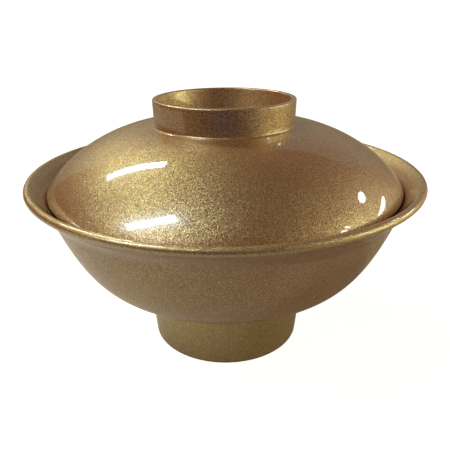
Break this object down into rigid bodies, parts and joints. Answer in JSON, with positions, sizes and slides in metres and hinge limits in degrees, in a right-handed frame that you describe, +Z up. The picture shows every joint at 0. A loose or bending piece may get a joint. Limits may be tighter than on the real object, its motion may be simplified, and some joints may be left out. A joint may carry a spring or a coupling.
{
  "type": "lidded donburi bowl",
  "caption": "Flared lacquered bowl on a tall foot ring, covered by a domed lid that drops inside the rim and lifts off by its ring knob; serves and keeps warm a bowl of rice.",
  "frame": {"origin": "centre of the foot ring's standing face", "axes": "+Z up along the axis of both turned pieces; X and Y lie in the standing face and are alike"},
  "size_m": [0.165, 0.165, 0.1081],
  "materials": {
    "gold_lacquer": "fine gold flake under a glossy clear lacquer, the same all over both pieces"
  },
  "bodies": {
    "bowl": {"bowl": "gold_lacquer"},
    "lid": {"lid": "gold_lacquer"}
  },
  "joints": [
    {"name": "lid_lift", "type": "slide", "parent": "bowl", "child": "lid", "axis": [0, 0, 1], "range_m": [0, 0.1]}
  ]
}
